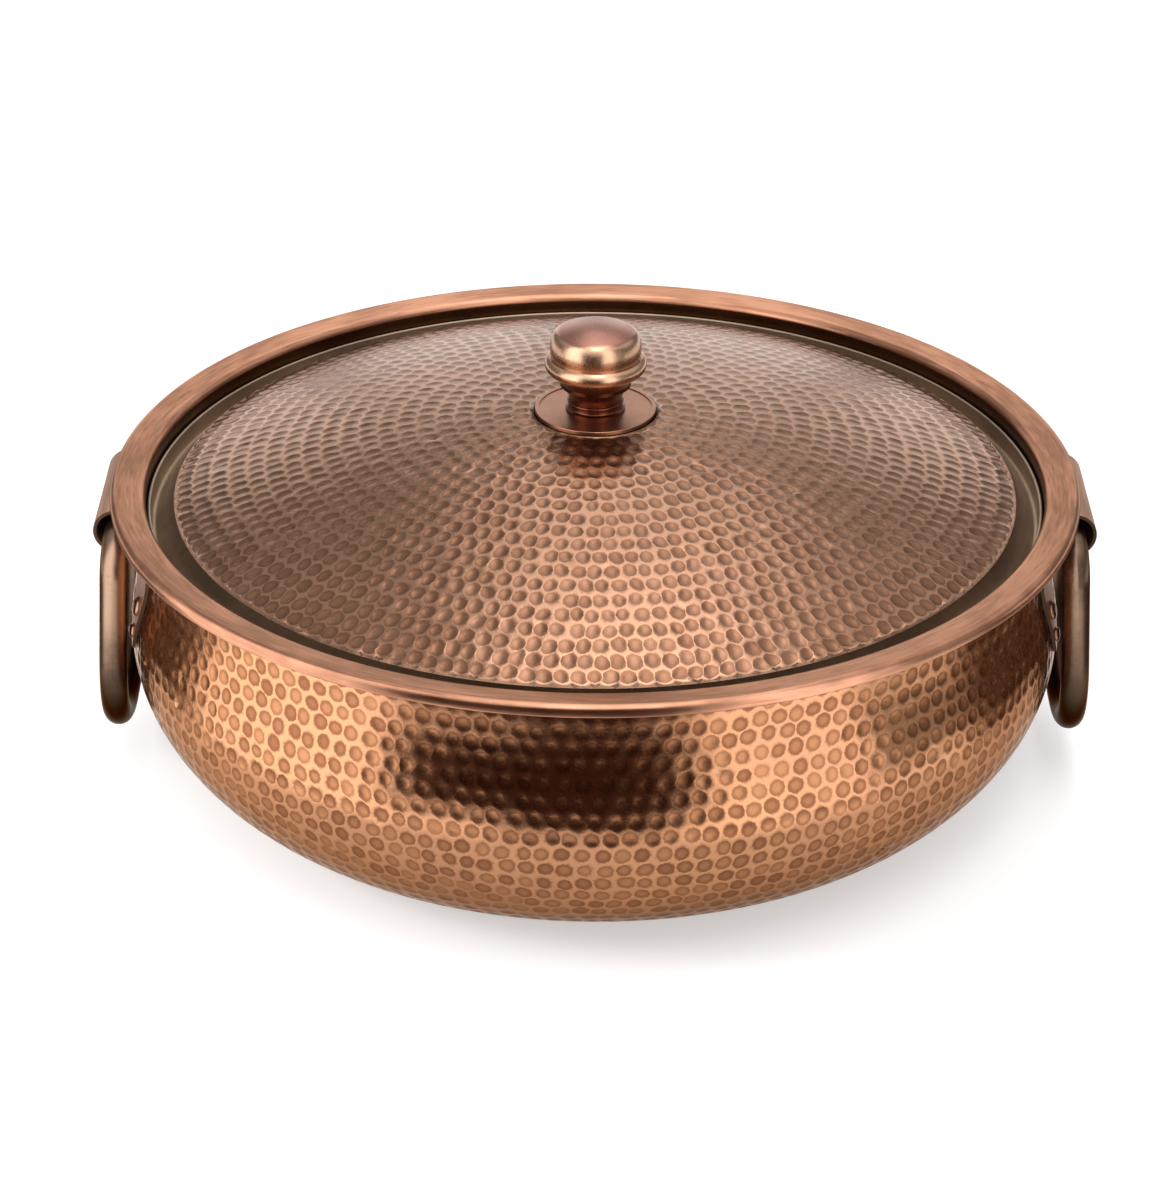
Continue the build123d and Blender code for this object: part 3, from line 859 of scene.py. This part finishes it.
def reflection_cards():
    """Upright cards round the pot that only its metal sees: soft boxes, brown flags and a pale back.

    They stand on an oval, as three rows of points. Azimuth 0 is the camera's side, 90 the right.
    """
    side_x, front_y, back_y = 0.29, 0.30, 0.55
    crisp, soft, softest = 9, 12, 17          # widths of the edges between cards, in degrees
    left_glow, right_glow, shade_glow, back_glow = ((level,) * 3 for level in (2.9, 2.5, 0.5, 1.35))
    front_flag = (0.055, 0.018, 0.010)
    side_flag = (0.15, 0.09, 0.07)
    left_box, flag, right_box, shade = (-78, -33), (-33, 16), (16, 48), (48, 70)
    foot_left, foot, foot_right = (-78, -13), (-13, 9), (9, 72)
    backs = ((-180, -158), (158, 180))
    lit_backs = [(*back, back_glow, soft) for back in backs]
    bands = [(*left_box, left_glow, crisp), (*right_box, right_glow, crisp), (*shade, shade_glow, crisp),
             (*flag, front_flag, softest)]
    foot_bands = [(*foot_left, left_glow, soft), (*foot_right, right_glow, soft), (*foot, front_flag, soft)]

    # Heights in metres: the front flag's foot is clear of the floor, and the others stand on it
    lows = [(*foot, 0.016, crisp)]
    middle_height = 0.05
    highs = [(*left_box, 0.6, crisp), (*right_box, 0.6, crisp), (*shade, 0.3, crisp), (*flag, 0.22, crisp)]
    highs += [(*back, 0.37, soft) for back in backs]
    rows = ((lows, 0.001, foot_bands), ([], middle_height, bands), (highs, 0.075, bands))
    count = 240

    points, glow = [], []
    for heights, rest_height, tones in rows:
        for i in range(count):
            azimuth = -180 + 360 * i / count
            a = math.radians(azimuth)
            depth = front_y if abs(azimuth) < 90 else back_y
            radius = 1 / math.hypot(math.sin(a) / side_x, math.cos(a) / depth)
            height = float(tone_by_azimuth(azimuth, heights, rest_height))
            points.append((radius * math.sin(a), -radius * math.cos(a), height))
            glow.append((*tone_by_azimuth(azimuth, tones + lit_backs, side_flag), 1.0))
    faces = [(row + i, row + (i + 1) % count, row + count + (i + 1) % count, row + count + i)
             for row in (0, count) for i in range(count)]
    mesh = bpy.data.meshes.new("reflection_cards")
    mesh.from_pydata(points, [], faces)
    attribute = mesh.attributes.new("card_glow", "FLOAT_COLOR", "POINT")
    attribute.data.foreach_set("color", np.array(glow, np.float32).ravel())
    cards = bpy.data.objects.new("reflection_cards", mesh)
    bpy.context.scene.collection.objects.link(cards)
    made, s = material("card")
    light = s.node("ShaderNodeEmission")
    s.plug(light.inputs["Color"], s.node("ShaderNodeAttribute", attribute_name="card_glow").outputs["Color"])
    light.inputs["Strength"].default_value = 1.0
    out = s.node("ShaderNodeOutputMaterial")
    s.plug(out.inputs["Surface"], light.outputs[0])
    mesh.materials.append(made)
    cards.visible_camera = False
    cards.visible_diffuse = False
    cards.visible_transmission = False
    cards.visible_shadow = False


def studio_floor():
    """A pale floor that keeps the pot's soft shadow."""
    mesh = bpy.data.meshes.new("floor")
    reach = 6.0
    mesh.from_pydata([(-reach, -reach, 0), (reach, -reach, 0), (reach, reach, 0), (-reach, reach, 0)], [],
                     [(0, 1, 2, 3)])
    floor = bpy.data.objects.new("floor", mesh)
    bpy.context.scene.collection.objects.link(floor)
    made, s = material("pale_floor")
    paper = s.node("ShaderNodeBsdfDiffuse")
    s.plug(paper.inputs["Color"], rgb(0.62, 0.62, 0.62))

    # The glow is for the camera and for metal and glass only, so that the floor shows white in them
    light = s.node("ShaderNodeEmission")
    path = s.node("ShaderNodeLightPath")
    seen = s.math("MAXIMUM", s.math("MAXIMUM", path.outputs["Is Camera Ray"], path.outputs["Is Glossy Ray"]),
                  path.outputs["Is Transmission Ray"])
    s.plug(light.inputs["Strength"], s.math("MULTIPLY", seen, 0.5))
    total = s.node("ShaderNodeAddShader")
    s.plug(total.inputs[0], paper.outputs[0])
    s.plug(total.inputs[1], light.outputs[0])
    out = s.node("ShaderNodeOutputMaterial")
    s.plug(out.inputs["Surface"], total.outputs[0])
    mesh.materials.append(made)


def photo_camera():
    """The camera of the photograph: a long lens, looking down on the front."""
    distance, elevation, roll = 1.5, math.radians(27.77), math.radians(0.25)
    target = Vector((-0.0053, 0.0, 0.06522))
    back = Vector((0.0, -math.cos(elevation), math.sin(elevation)))
    data = bpy.data.cameras.new("camera")
    data.lens = 112.3
    data.sensor_width = 36.0
    camera = bpy.data.objects.new("camera", data)
    camera.location = target + back * distance
    camera.rotation_mode = "QUATERNION"
    camera.rotation_quaternion = (-back).to_track_quat("-Z", "Y") @ Euler((0, 0, roll)).to_quaternion()
    bpy.context.scene.collection.objects.link(camera)
    bpy.context.scene.camera = camera


def key_lamp():
    """A soft box low on the left that brightens the floor there. The metal sees the card instead."""
    data = bpy.data.lights.new("key", "AREA")
    data.shape = "SQUARE"
    data.size = 0.3
    data.energy = 4.0
    lamp = bpy.data.objects.new("key", data)
    lamp.location = (-0.7, -0.3, 0.4)
    aim = Vector((-0.25, -0.15, 0.0)) - lamp.location
    lamp.rotation_mode = "QUATERNION"
    lamp.rotation_quaternion = aim.to_track_quat("-Z", "Y")
    lamp.visible_glossy = False
    bpy.context.scene.collection.objects.link(lamp)


studio_world()
key_lamp()
reflection_cards()
studio_floor()
photo_camera()
bpy.context.scene.view_settings.view_transform = "Standard"
